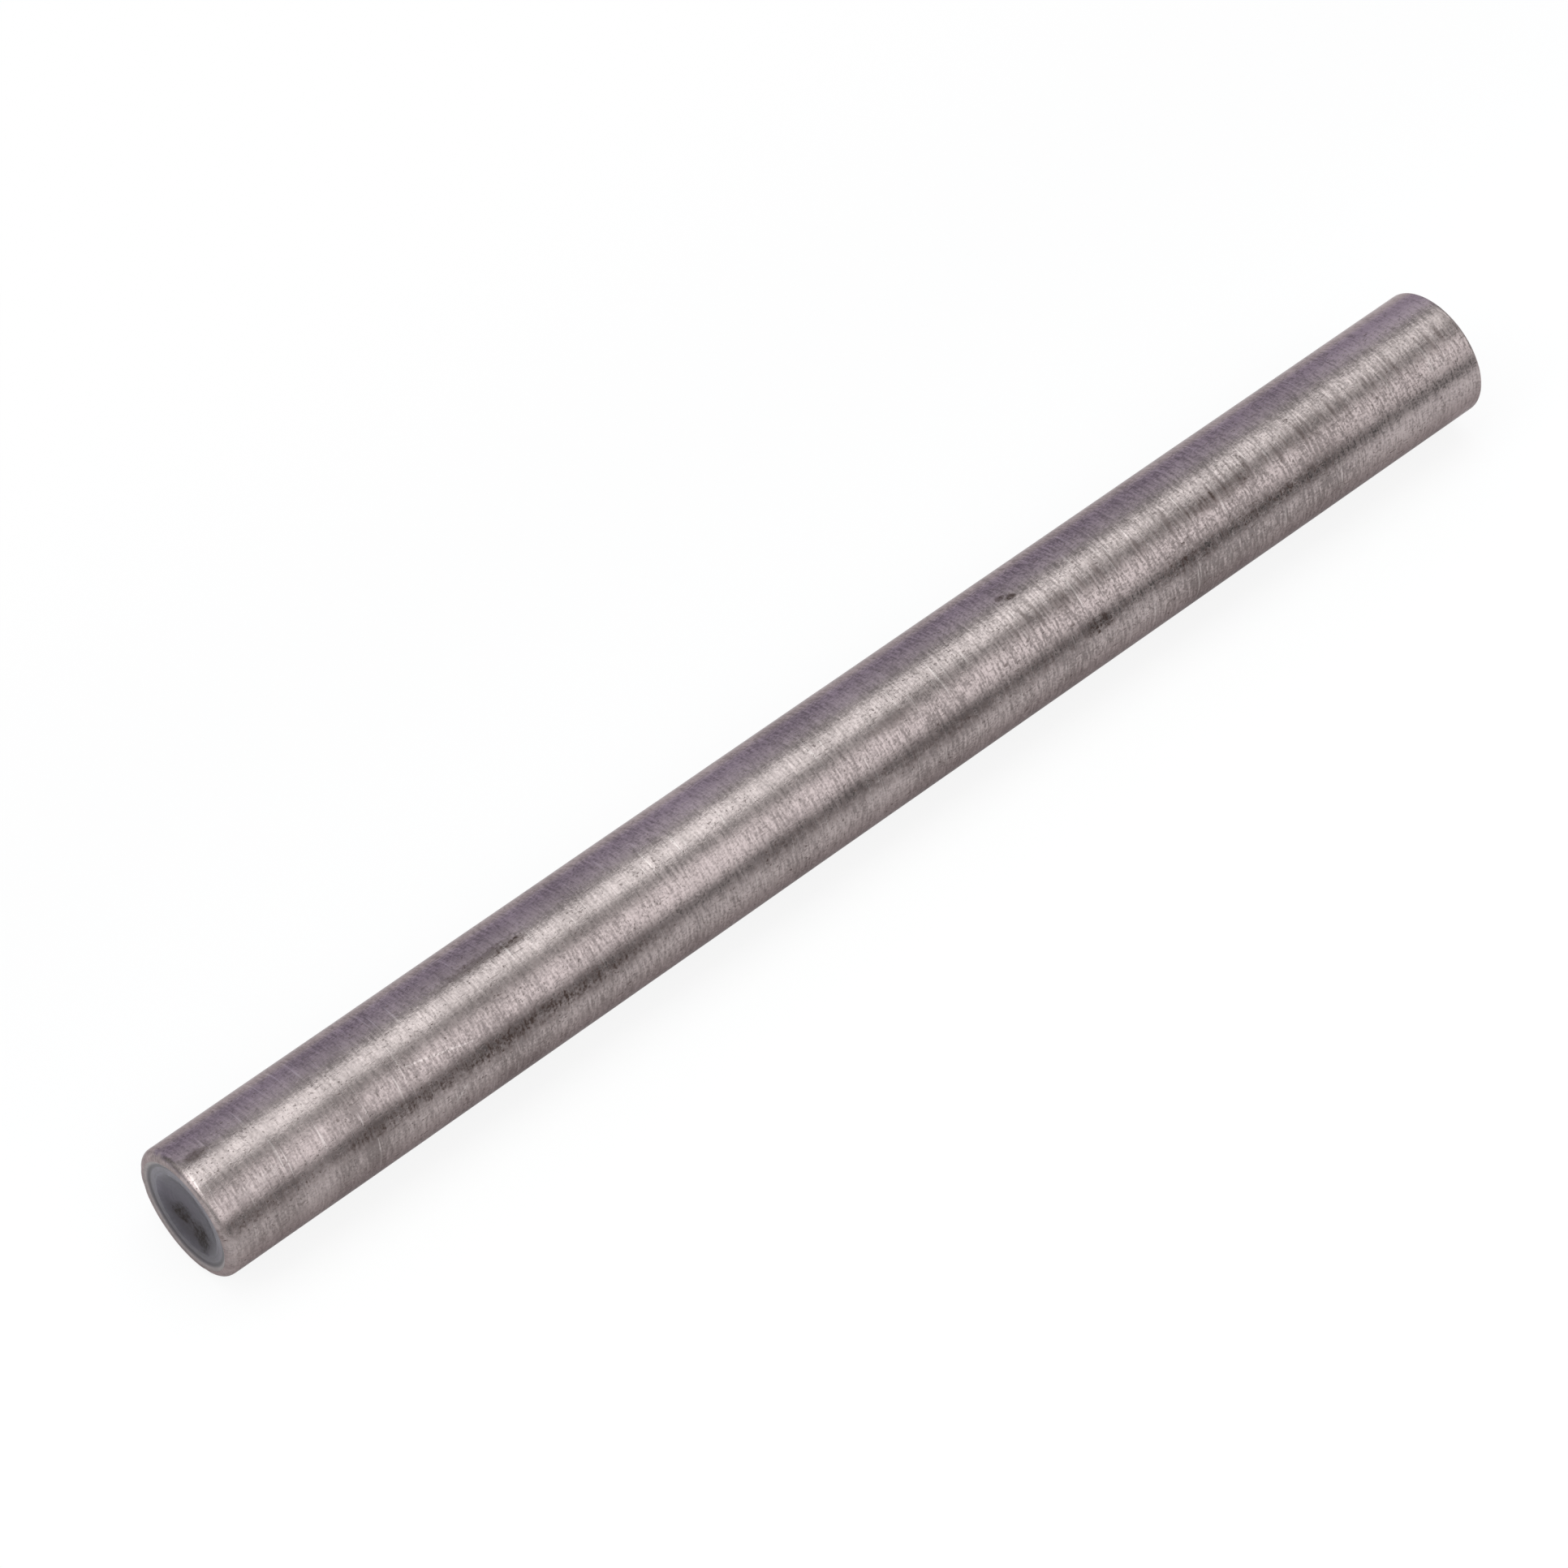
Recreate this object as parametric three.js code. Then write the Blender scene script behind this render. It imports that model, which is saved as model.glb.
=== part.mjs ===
// Rivet setting punch: one length of round steel bar, turned at both ends.
// The working end has a rolled outer edge, a bevel inside it down to a narrow flat land, and a
// spherical cup that holds the cap of the rivet. The other end is flat with a broken edge, and takes
// the hammer.
// The bar is one piece of steel. Its solid is divided by a plane behind the working end, so that
// the short nose with the cup and the plain convex shank can each be used on its own.
//
// Millimetres, +Z up. The bar lies along X on the plane z = 0, with the middle of its length at x = 0,
// its cupped end towards -X and its struck end towards +X.

import * as THREE from "three";

// Driving dimensions.
const BAR_DIAMETER = 9.5;
const BAR_LENGTH = 111; // from the rim of the working end to the struck face
const NOSE_LENGTH = 6; // from the rim to the plane that divides nose and shank
const NOSE_EDGE_RADIUS = 0.62; // rolled outer edge of the working end
const RIM_WIDTH = 0.05; // flat top of the rim, between the rolled edge and the bevel
const RIM_BEVEL_WIDTH = 0.38; // bevel from the rim down to the land, measured along the radius
const LAND_DEPTH = 0.2; // how far the land lies below the rim
const CUP_DIAMETER = 6.1; // mouth of the cup, where its sphere meets the land
const CUP_DEPTH = 0.8; // from the land to the bottom of the cup
const CUP_LIP_RADIUS = 0.15; // rounding of the mouth
const STRUCK_EDGE_RADIUS = 0.2; // broken edge of the struck end

// How finely round forms are cut into facets.
const ROUND_FACETS = 64;
const CUP_STEPS = 12;
const LIP_STEPS = 4;
const NOSE_EDGE_STEPS = 10;
const STRUCK_EDGE_STEPS = 5;

const BAR_RADIUS = BAR_DIAMETER / 2;
const QUARTER_TURN = Math.PI / 2;
const HALF_FACET = Math.PI / ROUND_FACETS;

// Profiles are drawn as (radius, distance from the rim of the working end).
function arc(centreRadius, centreDistance, radius, from, to, steps) {
  const clockwise = to < from;
  const curve = new THREE.EllipseCurve(centreRadius, centreDistance, radius, radius, from, to, clockwise);
  return curve.getPoints(steps);
}

// The cup is part of a sphere whose centre lies on the bar's axis, outside the working end.
// Its lip runs tangent to that sphere and to the land.
function cupProfile() {
  const mouthRadius = CUP_DIAMETER / 2;
  const sphereRadius = (mouthRadius ** 2 + CUP_DEPTH ** 2) / (2 * CUP_DEPTH);
  const sphereCentre = LAND_DEPTH + CUP_DEPTH - sphereRadius;
  const lipCentre = LAND_DEPTH + CUP_LIP_RADIUS;
  const lipRise = lipCentre - sphereCentre;
  const lipCentreRadius = Math.sqrt((sphereRadius + CUP_LIP_RADIUS) ** 2 - lipRise ** 2);
  const meeting = Math.atan2(lipRise, lipCentreRadius); // where sphere and lip touch
  const cup = arc(0, sphereCentre, sphereRadius, QUARTER_TURN, meeting, CUP_STEPS);
  const lip = arc(lipCentreRadius, lipCentre, CUP_LIP_RADIUS, meeting - Math.PI, -QUARTER_TURN, LIP_STEPS);
  return [...cup, ...lip.slice(1)];
}

// The bevel up from the land to the rim, then the rolled edge out to the side of the bar.
function rimProfile() {
  const edgeCentreRadius = BAR_RADIUS - NOSE_EDGE_RADIUS;
  const bevelRadius = edgeCentreRadius - RIM_WIDTH;
  return [
    new THREE.Vector2(bevelRadius - RIM_BEVEL_WIDTH, LAND_DEPTH),
    new THREE.Vector2(bevelRadius, 0),
    ...arc(edgeCentreRadius, NOSE_EDGE_RADIUS, NOSE_EDGE_RADIUS, -QUARTER_TURN, 0, NOSE_EDGE_STEPS),
  ];
}

function struckEndProfile() {
  const edgeCentreRadius = BAR_RADIUS - STRUCK_EDGE_RADIUS;
  const edgeCentre = BAR_LENGTH - STRUCK_EDGE_RADIUS;
  return [
    ...arc(edgeCentreRadius, edgeCentre, STRUCK_EDGE_RADIUS, 0, QUARTER_TURN, STRUCK_EDGE_STEPS),
    new THREE.Vector2(0, BAR_LENGTH),
  ];
}

function groundSteel() {
  return new THREE.MeshStandardMaterial({
    color: new THREE.Color().setRGB(0.4, 0.345, 0.34),
    roughness: 0.36,
    metalness: 1,
  });
}

// Turns a profile about the bar's axis and lays it down along X.
function turned(name, profile) {
  const geometry = new THREE.LatheGeometry(profile, ROUND_FACETS, HALF_FACET);
  geometry.rotateZ(-QUARTER_TURN);
  const mesh = new THREE.Mesh(geometry, groundSteel());
  mesh.name = name;
  return mesh;
}

function nose() {
  const divide = [new THREE.Vector2(BAR_RADIUS, NOSE_LENGTH), new THREE.Vector2(0, NOSE_LENGTH)];
  return turned("nose", [...cupProfile(), ...rimProfile(), ...divide]);
}

function shank() {
  const divide = [new THREE.Vector2(0, NOSE_LENGTH), new THREE.Vector2(BAR_RADIUS, NOSE_LENGTH)];
  return turned("shank", [...divide, ...struckEndProfile()]);
}

const rivetSetter = new THREE.Group();
rivetSetter.add(nose(), shank());
// It rests on the flat of its lowest facet.
rivetSetter.position.set(-BAR_LENGTH / 2, 0, BAR_RADIUS * Math.cos(HALF_FACET));

export default rivetSetter;
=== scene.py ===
import math
import random

import bmesh
import bpy
from mathutils import Matrix, Vector, noise


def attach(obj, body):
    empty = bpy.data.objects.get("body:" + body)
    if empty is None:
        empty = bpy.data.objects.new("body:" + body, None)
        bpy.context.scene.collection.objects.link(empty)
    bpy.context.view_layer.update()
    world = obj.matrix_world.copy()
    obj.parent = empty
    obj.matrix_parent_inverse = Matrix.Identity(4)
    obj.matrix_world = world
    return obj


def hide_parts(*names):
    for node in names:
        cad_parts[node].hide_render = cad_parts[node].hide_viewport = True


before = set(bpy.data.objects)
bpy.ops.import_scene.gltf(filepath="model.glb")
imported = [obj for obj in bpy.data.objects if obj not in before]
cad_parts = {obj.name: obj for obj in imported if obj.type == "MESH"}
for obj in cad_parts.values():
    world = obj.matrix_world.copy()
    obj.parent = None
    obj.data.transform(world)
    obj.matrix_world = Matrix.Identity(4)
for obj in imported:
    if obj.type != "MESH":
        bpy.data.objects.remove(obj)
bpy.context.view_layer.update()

# The bar: one length of round steel, cup and all, with nothing joined to it. The side is ground, the
# ends are turned, and use has left it slightly wavy, with nicks in the rolled edge of the working end.
# Sizes are in mm.
MM = 0.001
RADIUS = 4.75
LENGTH = 111.0
NOSE_EDGE = 0.62  # radius of the rolled edge round the working end
STRUCK_EDGE = 0.2  # radius of the broken edge round the struck end
RIM_WIDTH = 0.05  # flat top of the rim
RIM_BEVEL = 0.38  # width of the bevel from the rim down to the land
LAND_DEPTH = 0.2  # from the rim to the land
CUP_RADIUS = 3.05  # where the cup's sphere meets the land
CUP_DEPTH = 0.8  # from the land to the bottom of the cup
CUP_LIP = 0.15  # radius of the rounded mouth of the cup
CREST_EASE = 0.04  # reach of the rounding at the top of the bevel
FOOT_EASE = 0.05  # reach of the rounding at its foot
RIM_RADIUS = RADIUS - NOSE_EDGE  # where the rolled edge starts
CREST_RADIUS = RIM_RADIUS - RIM_WIDTH  # top of the bevel
FOOT_RADIUS = CREST_RADIUS - RIM_BEVEL  # foot of the bevel
HOLLOW_END = 1.2  # the bevel, the land and the cup all lie nearer to the rim than this
STRUCK_SKIN = 0.06  # faces nearer to the far end than this belong to the struck face
ROUND_STEPS = 192

GROUND_WAVE = 0.012  # depth of the long waves in the ground side
GROUND_WAVE_PITCH = (0.11, 0.3)  # waves to the mm, along the bar and across it
GROUND_RIPPLE = 0.003  # depth of the short waves
GROUND_RIPPLE_PITCH = (0.4, 0.8)
GROUND_OFF = 0.014  # taken off all round, so that the waves stay inside the drawn outline
SIDE_FROM = 4.2  # wear of the side fades in from this radius
SIDE_FADE = 0.4
CUP_UNEVEN = 0.012
CUP_PITCH = 1.7
STRUCK_UNEVEN = 0.012
STRUCK_PITCH = 0.9
STRUCK_OFF = 0.015  # taken off the struck face, so that it too stays inside the drawn outline
STRUCK_DEPTH = 0.1  # its unevenness ends at this distance from the far end
NICK_SEED = 11
NICK_COUNT = 14
NICK_WIDTH = (0.15, 0.4)
NICK_DEPTH = (0.01, 0.05)
NICK_PLACE = 0.15  # distance of the nicks' middles from the rim
NICK_REACH = 0.4  # how far they run along the bar
NICK_END = 2.0  # none is felt past this distance from the rim


def arc(s, r, radius, start, end, steps):
    """Points of an arc, as (distance from the rim, distance from the axis), with angles in degrees."""
    turns = [math.radians(start + (end - start) * i / steps) for i in range(steps + 1)]
    return [(s + radius * math.cos(a), r + radius * math.sin(a)) for a in turns]


def straight(start, end, steps):
    """Points of a straight run, both ends left out."""
    return [tuple(a + (b - a) * i / steps for a, b in zip(start, end)) for i in range(1, steps)]


def eased(before, corner, after, reach, steps):
    """Points of a rounded corner that starts and ends at the reach from the sharp one."""
    first, sharp, last = (Vector(point) for point in (before, corner, after))
    start = sharp + reach * (first - sharp).normalized()
    end = sharp + reach * (last - sharp).normalized()
    shares = [i / steps for i in range(steps + 1)]
    return [tuple(start.lerp(sharp, t).lerp(sharp.lerp(end, t), t)) for t in shares]


def bar_outline():
    """Half the bar's section, from the bottom of the cup to the middle of the struck face."""
    sphere = (CUP_RADIUS ** 2 + CUP_DEPTH ** 2) / (2 * CUP_DEPTH)
    sphere_s = LAND_DEPTH + CUP_DEPTH - sphere
    lip_s = LAND_DEPTH + CUP_LIP
    lip_r = math.sqrt((sphere + CUP_LIP) ** 2 - (lip_s - sphere_s) ** 2)
    meeting = math.degrees(math.atan2(lip_r, lip_s - sphere_s))
    crest = (0, CREST_RADIUS)
    foot = (LAND_DEPTH, FOOT_RADIUS)
    cup = arc(sphere_s, 0, sphere, 0, meeting, steps=40)
    lip = arc(lip_s, lip_r, CUP_LIP, meeting + 180, 180, steps=8)[1:]
    hollow = eased(lip[-1], foot, crest, FOOT_EASE, steps=5)
    ridge = eased(foot, crest, (0, RIM_RADIUS), CREST_EASE, steps=5)
    land = straight(lip[-1], hollow[0], steps=6)
    bevel = straight(hollow[-1], ridge[0], steps=6)
    rolled = arc(NOSE_EDGE, RIM_RADIUS, NOSE_EDGE, 180, 90, steps=18)
    broken = arc(LENGTH - STRUCK_EDGE, RADIUS - STRUCK_EDGE, STRUCK_EDGE, 90, 0, steps=8)
    side = straight(rolled[-1], broken[0], steps=150)
    face = straight(broken[-1], (LENGTH, 0), steps=24) + [(LENGTH, 0)]
    return cup + lip + land + hollow + bevel + ridge + rolled + side + broken + face


def uneven(s, y, z, pitch_along, pitch_across, shift=0):
    """Noise from -1 to 1. The shift makes one noise unlike another."""
    return noise.noise(Vector((pitch_along * s, pitch_across * y, pitch_across * z + shift)))


def wear(s, y, z, rim_nicks):
    """How far the surface lies inside the drawn outline: along the radius and along the bar."""
    r = math.hypot(y, z)
    wave = uneven(s, y, z, *GROUND_WAVE_PITCH)
    ripple = uneven(s, y, z, *GROUND_RIPPLE_PITCH, shift=9)
    outside = max(0.0, min(1.0, (r - SIDE_FROM) / SIDE_FADE))
    inward = outside * (GROUND_WAVE * wave + GROUND_RIPPLE * ripple + GROUND_OFF)
    along = 0.0
    if s < NICK_END:
        angle = math.atan2(z, y)
        for place, width, depth in rim_nicks:
            off = math.remainder(angle - place, math.tau) * RADIUS
            dent = depth * math.exp(-(off / width) ** 2 - ((s - NICK_PLACE) / NICK_REACH) ** 2)
            inward += outside * dent
            along += outside * dent
    if s < HOLLOW_END and r < CUP_RADIUS + CUP_LIP:
        along += CUP_UNEVEN * noise.noise(Vector((CUP_PITCH * y, CUP_PITCH * z, 3)))
    if s > LENGTH - STRUCK_DEPTH:
        along += STRUCK_OFF + STRUCK_UNEVEN * noise.noise(Vector((STRUCK_PITCH * y, STRUCK_PITCH * z, 7)))
        along *= -1
    return inward, along


def turned_bar():
    """Spins the outline round the bar's axis and wears it."""
    bm = bmesh.new()
    chain = [bm.verts.new((MM * (s - LENGTH / 2), 0, MM * (RADIUS + r))) for s, r in bar_outline()]
    wire = [bm.edges.new(pair) for pair in zip(chain, chain[1:])]
    bmesh.ops.spin(bm, geom=chain + wire, cent=(0, 0, MM * RADIUS), axis=(1, 0, 0), dvec=(0, 0, 0),
                   angle=math.tau, steps=ROUND_STEPS, use_merge=True, use_duplicate=False)
    bmesh.ops.remove_doubles(bm, verts=bm.verts[:], dist=1e-7)
    bmesh.ops.recalc_face_normals(bm, faces=bm.faces[:])
    dice = random.Random(NICK_SEED)
    rim_nicks = [(dice.uniform(-math.pi, math.pi), dice.uniform(*NICK_WIDTH), dice.uniform(*NICK_DEPTH))
                 for _ in range(NICK_COUNT)]
    for v in bm.verts:
        s = v.co.x / MM + LENGTH / 2
        y = v.co.y / MM
        z = v.co.z / MM - RADIUS
        inward, along = wear(s, y, z, rim_nicks)
        r = max(math.hypot(y, z), 1e-6)
        v.co.x += MM * along
        v.co.y -= MM * inward * y / r
        v.co.z -= MM * inward * z / r
    for f in bm.faces:
        f.smooth = True
        middle = f.calc_center_median()
        r = math.hypot(middle.y, middle.z - MM * RADIUS) / MM
        s = middle.x / MM + LENGTH / 2
        if s < HOLLOW_END and r < CREST_RADIUS:
            f.material_index = 1
        elif s > LENGTH - STRUCK_SKIN:
            f.material_index = 2
    mesh = bpy.data.meshes.new("setter_bar")
    bm.to_mesh(mesh)
    bm.free()
    return mesh


bar = bpy.data.objects.new("setter_bar", turned_bar())
bpy.context.scene.collection.objects.link(bar)
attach(bar, "root")
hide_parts("nose", "shank")


# Ground side of the bar: bare steel with fine grinding marks round it, short drawn seams along it,
# pits, handling stains, dark scale in long strips that are partly a painted reflection of the dark bands
# the metal mirrors, painted shade on the underside, and a few bright scratches.
DULL_STEEL = (0.21, 0.178, 0.176, 1)
CLEAN_STEEL = (0.46, 0.393, 0.39, 1)
SCRAPED_STEEL = (0.62, 0.56, 0.55, 1)
# Dark of scale, seams and pits; also the colour of the painted reflection in the strips and of the painted
# shade on the underside.
DARK_SCALE_AND_SHADE = (0.076, 0.054, 0.049, 1)
GLANCING_TINT = (0.69, 0.63, 0.64, 1)
SIDE_RELIEF = 0.016

# Each row of marks is a spot: distance from the rim, distance round from the top line (the front is
# negative), half length, half width, turn in degrees, raggedness of its edge, and strength.
STAINS = (
    (1.6, 0.35, 1.1, 0.5, 0, 0.5, 1.0),
    (24.5, 0.3, 4.0, 0.5, 0, 1.0, 0.7),
    (27.0, 0.0, 1.6, 0.32, 0, 0.8, 0.9),
    (57.5, -2.3, 2.5, 0.6, 0, 0.5, 0.4),
    (67.1, -3.55, 0.3, 0.12, 0, 0.5, 1.0),
    (69.5, -3.0, 0.25, 0.12, 0, 0.5, 1.0),
    (70.0, 0.6, 0.5, 0.32, 0, 0.5, 1.2),
    (70.6, 0.2, 0.6, 0.3, 0, 0.5, 1.2),
    (72.9, -3.9, 0.3, 0.12, 0, 0.5, 1.0),
    (74.9, -5.0, 1.4, 0.8, 0, 0.5, 0.8),
    (87.5, -2.3, 4.0, 0.7, 0, 0.5, 0.5),
)
SCRAPES = (
    (3.8, -3.4, 2.4, 0.6, 0, 0.5, 0.3),
    (18.4, -3.3, 3.6, 0.1, -13, 0.5, 1.0),
    (18.8, -6.7, 0.8, 0.15, 40, 0.5, 1.0),
    (107.8, -3.3, 1.2, 0.7, 0, 0.5, 0.4),
)


class Wire:
    """A socket of a material's node tree. Sums on it add Math nodes, and make() adds any other node."""

    def __init__(self, tree, socket):
        self.tree = tree
        self.socket = socket

    def make(self, kind, settings, sockets, output=0):
        node = self.tree.nodes.new(kind)
        for name, value in settings.items():
            setattr(node, name, value)
        for name, value in sockets.items():
            if isinstance(value, Wire):
                self.tree.links.new(value.socket, node.inputs[name])
            else:
                node.inputs[name].default_value = value
        return Wire(self.tree, node.outputs[output])

    def maths(self, operation, *terms):
        return self.make("ShaderNodeMath", {"operation": operation}, dict(enumerate(terms)))

    def __add__(self, other):
        return self.maths("ADD", self, other)

    def __radd__(self, other):
        return self.maths("ADD", other, self)

    def __sub__(self, other):
        return self.maths("SUBTRACT", self, other)

    def __rsub__(self, other):
        return self.maths("SUBTRACT", other, self)

    def __mul__(self, other):
        return self.maths("MULTIPLY", self, other)

    def __rmul__(self, other):
        return self.maths("MULTIPLY", other, self)

    def part(self, axis):
        """One part of this vector: X, Y or Z."""
        return self.make("ShaderNodeSeparateXYZ", {}, {0: self}, axis)

    def length(self):
        """The length of this vector."""
        return self.make("ShaderNodeVectorMath", {"operation": "LENGTH"}, {0: self}, "Value")

    def stretched(self, x, y, z=1.0, turn=0.0):
        """This vector turned about its third part, in degrees, and then with its parts multiplied."""
        turned = self
        if turn:
            turned = self.make("ShaderNodeMapping", {}, {
                "Vector": self, "Rotation": (0, 0, math.radians(turn))})
        return self.make("ShaderNodeMapping", {}, {"Vector": turned, "Scale": (x, y, z)})

    def noise(self, detail=2.0, roughness=0.55):
        return self.make("ShaderNodeTexNoise", {"noise_dimensions": "3D"},
                         {"Vector": self, "Scale": 1.0, "Detail": detail, "Roughness": roughness})

    def rings(self, scale):
        """Noise that changes with this distance alone."""
        return self.make("ShaderNodeTexNoise", {"noise_dimensions": "1D"},
                         {"W": self, "Scale": scale, "Detail": 3.0})

    def ramp(self, low, high):
        """0 below low, 1 above high, and smooth between."""
        return self.make("ShaderNodeMapRange", {"interpolation_type": "SMOOTHSTEP"},
                         {"Value": self, "From Min": low, "From Max": high})

    def near(self, centre, reach):
        """1 where this is at the centre, falling to 0 at the reach to either side."""
        return 1 - self.maths("ABSOLUTE", self - centre).ramp(0.0, reach)

    def spot(self, along, around, length, width, turn, ragged):
        """1 inside a long spot with a ragged edge."""
        inside = self.make("ShaderNodeMapping", {"vector_type": "TEXTURE"}, {
            "Vector": self, "Location": (along, around, 0), "Scale": (length, width, 1),
            "Rotation": (0, 0, math.radians(turn))})
        fray = 2 * self.stretched(3, 4).noise() - 1
        return 1 - (inside.length() + ragged * fray).ramp(0.45, 1.0)

    def marks(self, rows):
        """Several spots added up. A row's last number is the strength of its spot."""
        spots = [strength * self.spot(*shape) for *shape, strength in rows]
        return sum(spots[1:], spots[0])

    def between(self, first, second):
        """The colour from first, at 0, to second, at 1."""
        return self.make("ShaderNodeMix", {"data_type": "RGBA"}, {0: self, 6: first, 7: second}, 2)


def new_steel(name):
    """A metal material, its shader, and the place on the bar in mm from the middle of the rim's plane."""
    material = bpy.data.materials.new(name)
    material.use_nodes = True
    tree = material.node_tree
    shader = tree.nodes["Principled BSDF"]
    shader.inputs["Metallic"].default_value = 1.0
    start = Wire(tree, tree.nodes.new("ShaderNodeTexCoord").outputs["Object"])
    place = start.make("ShaderNodeMapping", {}, {
        "Vector": start, "Scale": (1 / MM, 1 / MM, 1 / MM), "Location": (LENGTH / 2, 0, -RADIUS)})
    return material, shader, place


def paint(shader, place, colour, roughness, height, relief):
    """Joins a finish to its shader. height is in units of the relief."""
    normal = place.make("ShaderNodeBump", {}, {"Strength": 1.0, "Distance": relief * MM, "Height": height})
    for socket, wire in (("Base Color", colour), ("Roughness", roughness), ("Normal", normal)):
        place.tree.links.new(wire.socket, shader.inputs[socket])


def unrolled(place):
    """Places on the side as (distance from the rim, distance round from the top line)."""
    around = RADIUS * place.maths("ARCTAN2", place.part("Y"), place.part("Z"))
    return place.make("ShaderNodeCombineXYZ", {}, {"X": place.part("X"), "Y": around})


def ground_side():
    """The finish of the side. Noise is stretched to waves to the mm, along the bar and round it."""
    material, shader, place = new_steel("ground_steel")
    flat = unrolled(place)
    along = flat.part("X")
    around = flat.part("Y")
    far_half = along.ramp(62, 80)

    # Grinding: streaks round the bar at several slants, and a grain of several sizes.
    fine = flat.stretched(5.2, 0.9, turn=2).noise(2.0, 0.6)
    cross = flat.stretched(3.8, 0.6, turn=-5).noise(2.0, 0.6)
    line = flat.stretched(3.5, 0.2, turn=3).noise().ramp(0.62, 0.74)
    rib = flat.stretched(2.0, 0.15, turn=1).noise(3.0, 0.6) * (0.25 + 0.75 * along.ramp(40, 75))
    band = flat.stretched(0.2, 0.04).noise(3.0, 0.6)
    speck = flat.stretched(4.8, 5.6).noise(2.0, 0.6)
    grain = flat.stretched(3.2, 4.0).noise(3.0, 0.65)
    blotch = flat.stretched(1.3, 1.6).noise(3.0, 0.6)
    lump = flat.stretched(0.5, 0.7).noise(2.0, 0.5)

    # Seams drawn along the bar, and pits. The small pits crowd together in places.
    seam = flat.stretched(0.8, 6).noise().ramp(0.63, 0.73)
    crowd = flat.stretched(0.35, 0.45).noise(3.0, 0.6).ramp(0.42, 0.62)
    small_pit = flat.stretched(4.2, 4.8).noise(1.0).ramp(0.63, 0.7) * (0.1 + 0.9 * crowd)
    large_pit = flat.stretched(1.9, 2.4).noise().ramp(0.68, 0.74)
    pit = small_pit + large_pit

    # Mottled scale in three long strips, patchy, and crisper in the far half. The front strip drifts
    # upwards there, and the middle one is crossed by ribs. The strips lie along the bands where the metal
    # mirrors dark, so they are partly scale and partly a painted reflection. Painted shade darkens the
    # underside.
    mottle = (0.2 * grain + 0.3 * speck + 0.15 * blotch + 0.35 * fine).ramp(0.395, 0.605)
    patch = flat.stretched(0.06, 0.02).noise().ramp(0.3, 0.6)
    reach = (0.25 + 0.65 * patch + 0.4 * along.near(24, 22)) * (1.15 - 0.7 * along.ramp(82, 111))
    drifted = around - 0.5 * along.ramp(62, 105)
    # Painted reflection as well as scale: the strips follow the bands where the metal mirrors dark.
    scale_and_reflection_strips = drifted.near(-5.1, 1.5) + 0.3 * around.near(-2.0, 1.1) + 0.28 * around.near(1.2, 1.5)
    crisp = 0.5 + (1 + 1.3 * far_half) * (mottle - 0.53)
    ribbed = 0.55 * rib.ramp(0.45, 0.62) * around.near(-1.85, 1.5)
    scale = crisp * reach * scale_and_reflection_strips + ribbed
    # Painted shade: darker towards the underside.
    low_shade_and_darkening = 1 - around.ramp(-8.0, -5.6)
    stained = (0.25 + 0.55 * mottle) * flat.marks(STAINS)
    dark = (0.35 + 0.25 * low_shade_and_darkening) * seam + 0.5 * pit + 0.88 * scale + 0.36 * low_shade_and_darkening + stained

    # How deep the grinding shows: deepest in front and in the far half, least on the top of the near half.
    worn = 0.9 + 0.3 * along.ramp(8, 20) + 0.28 * along.ramp(55, 75) - 0.15 * along.ramp(95, 110)
    top = around.near(-0.9, 1.3) * (1 - along.ramp(45, 75))
    front = around.near(-3.3, 1.8) * (0.4 + 0.6 * along.ramp(40, 75))
    low = drifted.near(-5.0, 1.4) * (2.2 + 1.8 * far_half) + 1.2 * around.near(-6.4, 1.0)
    depth = worn * (3.9 + 2.1 * front + 0.7 * around.ramp(0.4, 2.0) - top + low)
    scratched = depth * (0.4 * fine + 0.22 * cross + 0.38 * speck - 0.5)
    banded = (1.9 - 0.8 * around.ramp(-4, -2)) * (band - 0.5)

    # Brighter in the middle and at the far end, and duller at the near end and low down near 88 mm.
    under = around.near(-6.5, 1.6)
    middle = 0.12 * along.near(42, 17) + 0.2 * along.near(38, 10) * around.near(-3.7, 1.2)
    far_end = (0.1 + 0.4 * around.ramp(-0.4, 1.2)) * along.ramp(94, 110)
    near_end = (1 - along.ramp(10, 24)) * (around.near(-3.0, 1.3) + under)
    brighter_and_duller = middle + far_end - 0.2 * near_end - 0.2 * along.near(88, 15) * under - 0.03

    steel = (0.5 + scratched + banded + brighter_and_duller).between(DULL_STEEL, CLEAN_STEEL)
    bright = (0.5 * line + 0.7 * mottle * flat.marks(SCRAPES)).between(steel, SCRAPED_STEEL)
    colour = dark.between(bright, DARK_SCALE_AND_SHADE)
    polish = around.ramp(0.8, 3.0)
    roughness = 0.2 + 0.12 * lump + 0.15 * scale + 0.1 * pit - 0.06 * polish
    height = (0.5 * fine + 0.4 * cross + 0.65 * grain + 0.5 * speck + 0.5 * blotch + lump + 0.2 * line
              - 0.5 * pit - 0.3 * seam)
    paint(shader, place, colour, roughness, height * (1 - 0.45 * polish), SIDE_RELIEF)
    shader.inputs["Specular Tint"].default_value = GLANCING_TINT
    return material


bar.data.materials.append(ground_side())


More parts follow.
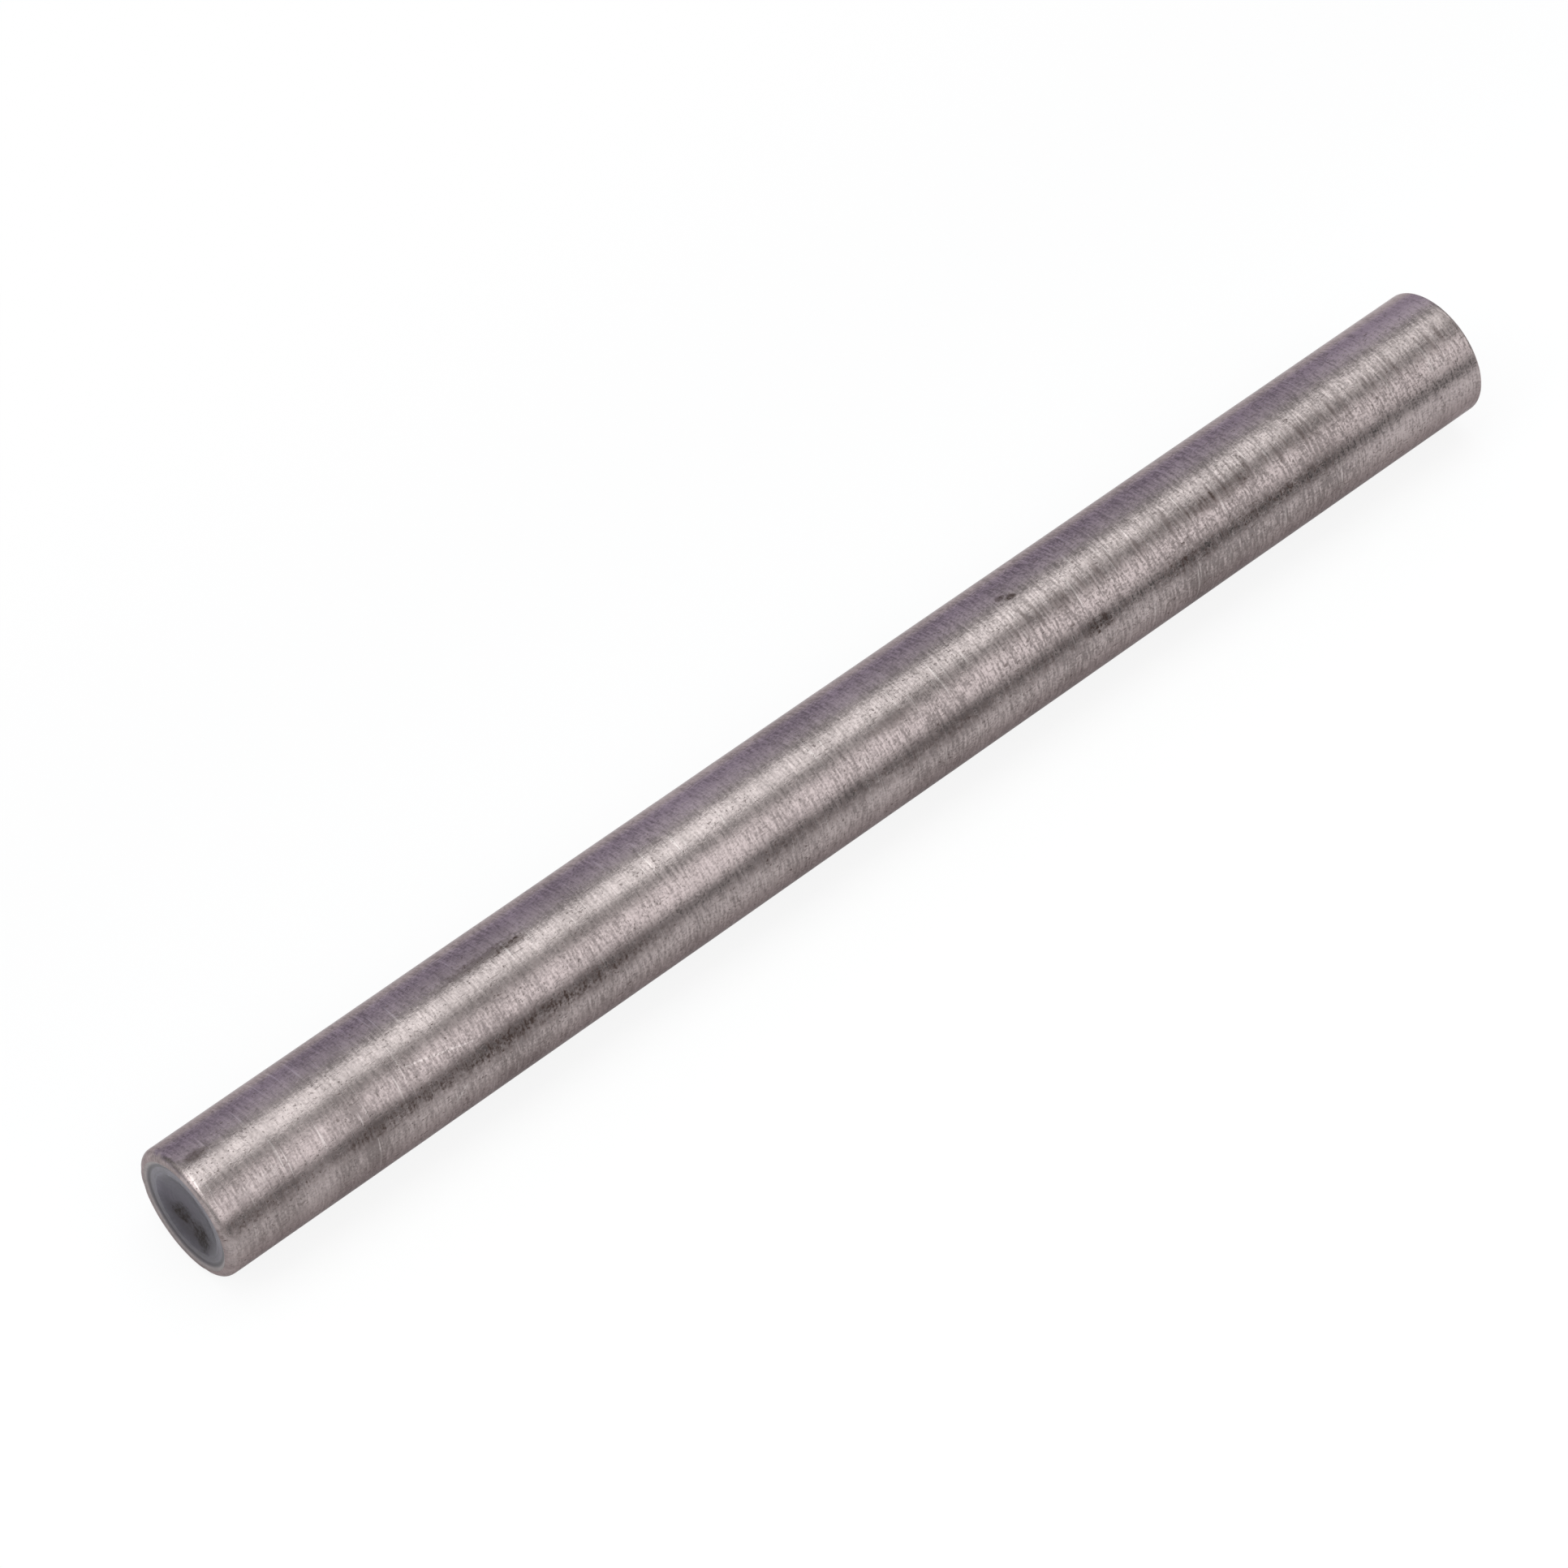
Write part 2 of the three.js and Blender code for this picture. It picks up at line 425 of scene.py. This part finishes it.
# Working face: the bevel inside the rim, the narrow land and the cup, all turned in one setting. Bare
# steel with rust low in the cup. The land and the cup are bluer and darker than the side, partly as
# painted shade, and darker still in the corner of the bevel and, as painted shade, low down.
# The cup's and the land's steels are darker and bluer than the side's, partly painted shade.
SHADED_CUP_STEEL = (0.124, 0.111, 0.134, 1)
SHADED_LAND_STEEL = (0.218, 0.204, 0.237, 1)
BEVEL_STEEL = (0.34, 0.295, 0.29, 1)
SHADED_DULL_CUP = (0.096, 0.09, 0.106, 1)
DULL_BEVEL = (0.2, 0.18, 0.18, 1)
# Colour of the darkening in the corner of the bevel and of the painted shade low in the face.
SHADE_AND_CORNER_DARK = (0.05, 0.046, 0.048, 1)
RUST = (0.04, 0.032, 0.028, 1)
CORNER_WIDTH = 0.24
FACE_RELIEF = 0.012

# Rows as for the side, with places to the back and up from the bar's axis.
RUST_SPOTS = (
    (-0.85, -1.9, 1.3, 0.9, 25, 0.5, 0.9),
    (1.2, -1.35, 1.05, 0.8, 20, 0.5, 0.8),
)


def working_face():
    material, shader, place = new_steel("working_face")
    face = place.make("ShaderNodeCombineXYZ", {}, {"X": place.part("Y"), "Y": place.part("Z")})
    up = face.part("Y")
    radius = face.length()
    rings = radius.rings(7.0)
    cloud = face.stretched(1.3, 1.3).noise(4.0, 0.6)
    fleck = face.stretched(4.5, 4.5).noise(4.0, 0.65)
    outer = radius.ramp(3.0, 4.0)

    # Rust in two spots and along the bottom of the cup, broken up by flecks.
    rust_ring = 0.5 * radius.near(2.0, 1.0) * (1 - up.ramp(-1.7, -0.7))
    broken = 0.3 + 0.7 * (0.3 * cloud + 0.7 * fleck).ramp(0.38, 0.62)
    rust = (face.marks(RUST_SPOTS) + rust_ring) * broken

    # Darker in the corner at the foot of the bevel, and painted shade low in the cup and on the land.
    low = 1 - up.ramp(-2.2, 0.4)
    low_shade_and_darkening = 0.55 * radius.near(FOOT_RADIUS, CORNER_WIDTH) + 0.45 * low * (1 - outer)

    # Steel darker and bluer inwards, partly painted shade.
    shaded_inner_steel = radius.ramp(2.6, 3.2).between(SHADED_CUP_STEEL, SHADED_LAND_STEEL)
    clean_partly_shaded = radius.ramp(3.74, 3.98).between(shaded_inner_steel, BEVEL_STEEL)
    dull_partly_shaded = outer.between(SHADED_DULL_CUP, DULL_BEVEL)
    toned = (0.35 * cloud + 0.3 * rings + 0.35 * fleck).ramp(0.3, 0.7).between(dull_partly_shaded, clean_partly_shaded)
    # Painted shade and the corner's darkening over the toned steel, and rust over all.
    colour = (0.8 * rust.maths("MINIMUM", rust, 1.0)).between(low_shade_and_darkening.between(toned, SHADE_AND_CORNER_DARK), RUST)
    roughness = 0.36 + 0.3 * rust + 0.1 * cloud
    height = 0.4 * rings + 0.5 * cloud + 0.3 * fleck - 0.5 * rust
    paint(shader, place, colour, roughness, height, FACE_RELIEF)
    return material


bar.data.materials.append(working_face())


# Struck face: the flat far end, bare steel faced in the lathe, which leaves fine rings. Hammer blows
# have scuffed it unevenly and left small bright dents around its middle.
SCUFFED_STEEL = (0.2, 0.172, 0.17, 1)
FACED_STEEL = (0.42, 0.365, 0.36, 1)
DENTED_STEEL = (0.56, 0.5, 0.49, 1)
STRUCK_RELIEF = 0.02


def struck_face():
    material, shader, place = new_steel("struck_face")
    radius = place.stretched(0, 1).length()
    rings = radius.rings(9.0)
    blows = place.stretched(0.8, 0.8, 0.8).noise(3.0)
    scuff = place.stretched(2.2, 2.2, 2.2).noise(4.0, 0.65)
    dents = scuff.ramp(0.54, 0.64) * (1 - radius.ramp(2.6, 4.4))
    toned = (0.4 * blows + 0.25 * rings + 0.35 * scuff).ramp(0.35, 0.65)
    colour = (0.6 * dents).between(toned.between(SCUFFED_STEEL, FACED_STEEL), DENTED_STEEL)
    roughness = 0.34 + 0.15 * blows - 0.1 * dents
    height = 0.5 * rings + 0.8 * blows - 0.6 * dents + 0.3 * scuff
    paint(shader, place, colour, roughness, height, STRUCK_RELIEF)
    return material


bar.data.materials.append(struck_face())


# Table: a sheet of white card on a greyer bench, which is bluish behind the bar. To the camera all of it
# looks near white, with the bar's shadow on the card, and the metal mirrors the lit card and the bench.
# Sizes are in metres.
TABLE_HALF = 2.0
CARD_WHITE = (0.82, 0.82, 0.82, 1)
BENCH_AHEAD = (0.3, 0.3, 0.3, 1)
BENCH_BEHIND = (0.57, 0.545, 0.66, 1)
CARD_EDGE_AHEAD = (0.09, 0.2)  # where the card starts to give way to the bench, and where it has
CARD_EDGE_BEHIND = (0.0, 0.08)
SHADED = 0.15  # share of the lit card in what the camera sees, which holds the shadow
GLOW = 0.15  # share of plain white in what the metal mirrors


def white_card():
    material = bpy.data.materials.new("white_card")
    material.use_nodes = True
    tree = material.node_tree
    shader = tree.nodes["Principled BSDF"]
    back = Wire(tree, tree.nodes.new("ShaderNodeTexCoord").outputs["Object"]).part("Y")
    behind = back.ramp(*CARD_EDGE_BEHIND)
    beyond = (-1 * back).ramp(*CARD_EDGE_AHEAD) + behind
    tone = beyond.between(CARD_WHITE, behind.between(BENCH_AHEAD, BENCH_BEHIND))
    tree.links.new(tone.socket, shader.inputs["Base Color"])
    shader.inputs["Roughness"].default_value = 0.9
    shader.inputs["Specular IOR Level"].default_value = 0.0
    rays = tree.nodes.new("ShaderNodeLightPath").outputs
    camera_ray, glossy_ray, passed_ray = (
        Wire(tree, rays[kind]) for kind in ("Is Camera Ray", "Is Glossy Ray", "Is Transmission Ray"))
    card = 1 - beyond
    share = (1 - SHADED * card * card) * camera_ray + GLOW * card * glossy_ray + (1 - SHADED) * passed_ray
    white = share.make("ShaderNodeEmission", {}, {"Color": (1, 1, 1, 1), "Strength": 1.0})
    mixed = share.make("ShaderNodeMixShader", {}, {0: share, 1: Wire(tree, shader.outputs[0]), 2: white})
    tree.links.new(mixed.socket, tree.nodes["Material Output"].inputs["Surface"])
    return material


sheet = bmesh.new()
bmesh.ops.create_grid(sheet, x_segments=1, y_segments=1, size=TABLE_HALF)
table = bpy.data.objects.new("table", bpy.data.meshes.new("table"))
sheet.to_mesh(table.data)
sheet.free()
table.data.materials.append(white_card())
bpy.context.scene.collection.objects.link(table)


# Light: a long softbox above and a little behind, a second in front, a large dim panel behind, a panel
# above and beyond the working end, and a grey room that is paler overhead and beyond both ends.
# Places and sizes are in metres.
ROOM_COLOUR = (0.97, 0.995, 0.985, 1)
ROOM_DIM = 0.12
ROOM_OVERHEAD = 0.48
ROOM_ENDS = 0.45


def softbox(name, centre, aim, length, width, half_spread, colour, radiance):
    """A lamp with its length along X. Its light is strongest along its axis and fades to the sides."""
    lamp = bpy.data.lights.new(name, "AREA")
    lamp.shape = "RECTANGLE"
    lamp.size = length
    lamp.size_y = width
    lamp.color = colour
    lamp.spread = math.radians(2 * half_spread)
    fade = 1 - math.radians(half_spread) / math.tan(math.radians(half_spread))
    lamp.energy = radiance * fade * math.pi * length * width
    back = (Vector(centre) - Vector(aim)).normalized()
    along = (Vector((1, 0, 0)) - back.x * back).normalized()
    holder = bpy.data.objects.new(name, lamp)
    holder.location = centre
    holder.rotation_euler = Matrix((along, back.cross(along), back)).transposed().to_euler()
    bpy.context.scene.collection.objects.link(holder)


softbox("top_softbox", centre=(-0.2, 0.1, 0.6), aim=(-0.2, 0.002, 0.005), length=1.4, width=0.36,
        half_spread=55, colour=(0.95, 1, 0.985), radiance=2.3)
softbox("front_softbox", centre=(-0.05, -0.46, 0.37), aim=(-0.05, 0, 0.005), length=1.4, width=0.54,
        half_spread=60, colour=(1, 0.995, 1), radiance=1.45)
softbox("back_panel", centre=(0.65, 0.8, 0.4), aim=(0.65, 0, 0.3), length=2.1, width=0.8,
        half_spread=80, colour=(0.93, 0.85, 1.17), radiance=0.49)
softbox("end_panel", centre=(-0.655, 0.1, 0.44), aim=(-0.055, 0, 0.005), length=0.62, width=0.4,
        half_spread=45, colour=(1, 1, 1), radiance=2.0)

world = bpy.data.worlds.new("room")
world.use_nodes = True
room = world.node_tree.nodes["Background"]
room.inputs["Color"].default_value = ROOM_COLOUR
sky = Wire(world.node_tree, world.node_tree.nodes.new("ShaderNodeTexCoord").outputs["Generated"])
overhead = sky.part("Z").ramp(0.1, 0.8)
ends = (-1 * sky.part("X")).ramp(0.1, 0.9) + sky.part("X").ramp(0.65, 0.95)
strength = ROOM_DIM + ROOM_OVERHEAD * overhead + ROOM_ENDS * ends
world.node_tree.links.new(strength.socket, room.inputs["Strength"])
bpy.context.scene.world = world

# Camera: a long lens in front of the bar and above its working end, looking down and not rolled, placed
# so that the bar lies in the picture as it does in the photograph. Places are in metres.
SENSOR_MM = 36.0
LENS_MM = 147.584
CAMERA_PLACE = (-0.182617, -0.198990, 0.333253)
CAMERA_AIM = (0.420679, 0.471917, -0.774805)  # direction of view
CLIP_START = 0.01

camera = bpy.data.objects.new("camera", bpy.data.cameras.new("camera"))
camera.data.sensor_width = SENSOR_MM
camera.data.lens = LENS_MM
camera.data.clip_start = CLIP_START
camera.location = CAMERA_PLACE
camera.rotation_euler = Vector(CAMERA_AIM).to_track_quat("-Z", "Y").to_euler()
bpy.context.scene.collection.objects.link(camera)
bpy.context.scene.camera = camera
bpy.context.scene.view_settings.view_transform = "Standard"
